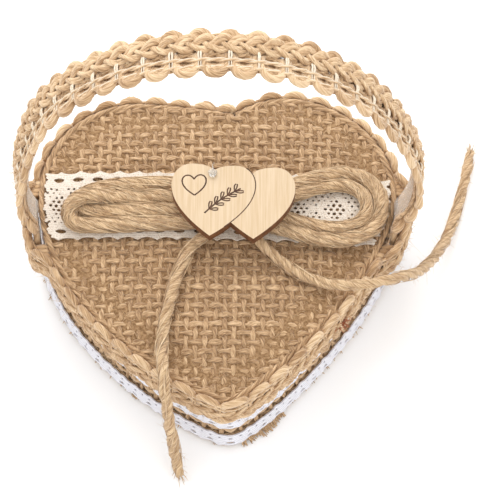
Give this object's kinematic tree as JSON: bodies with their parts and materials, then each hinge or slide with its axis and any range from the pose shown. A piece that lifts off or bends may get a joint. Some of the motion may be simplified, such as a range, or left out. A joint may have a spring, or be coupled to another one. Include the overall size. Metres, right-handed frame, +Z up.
{
  "type": "ring bearer pillow",
  "caption": "Small heart-shaped burlap ring pillow with lace trims, a twine bow, a plywood double-heart charm and an upright braided strap handle.",
  "frame": {"origin": "on the resting face, under the middle of the heart's width", "axes": "+Z up from the resting face, -Y towards the heart's tip, +X to the right as seen with the tip near the viewer"},
  "size_m": [0.1357, 0.1121, 0.1101],
  "materials": {
    "burlap": "coarse woven jute",
    "jute_braid": "braided jute with white binder threads",
    "jute_twine": "twisted hairy jute",
    "white_lace": "knitted lace",
    "cream_lace": "cotton lace",
    "card": "plain card",
    "foam": "closed-cell foam",
    "wadding": "soft wadding",
    "clear_plastic": "clear glossy strip",
    "plywood": "laser-cut plywood with burnt edges",
    "hot_glue": "clear set glue"
  },
  "bodies": {
    "pillow": {"base_cover": "burlap", "base_card": "card", "foam_core": "foam", "wadding": "wadding", "top_cover": "burlap", "side_cover": "burlap", "side_lace_upper": "white_lace", "side_lace_lower": "white_lace", "rim_braid": "jute_braid", "braid_tab_left": "jute_braid", "braid_tab_right": "jute_braid", "strip_tab_left": "clear_plastic", "strip_tab_right": "clear_plastic", "face_lace": "cream_lace", "bow_loop_left_back": "jute_twine", "bow_loop_left_front": "jute_twine", "bow_loop_right_outer": "jute_twine", "bow_loop_right_inner": "jute_twine", "bow_knot": "jute_twine", "tail_left": "jute_twine", "tail_right": "jute_twine", "heart_charm": "plywood", "glue_dab": "hot_glue"},
    "handle": {"handle_braid": "jute_braid", "handle_strip": "clear_plastic"}
  },
  "joints": [
    {"name": "handle_tilt", "type": "hinge", "parent": "pillow", "child": "handle", "pos_m": [0, 0.0085, 0.0376], "axis": [1, 0, 0], "range_deg": [-35, 35], "stiffness_Nm_per_rad": 0.02}
  ]
}
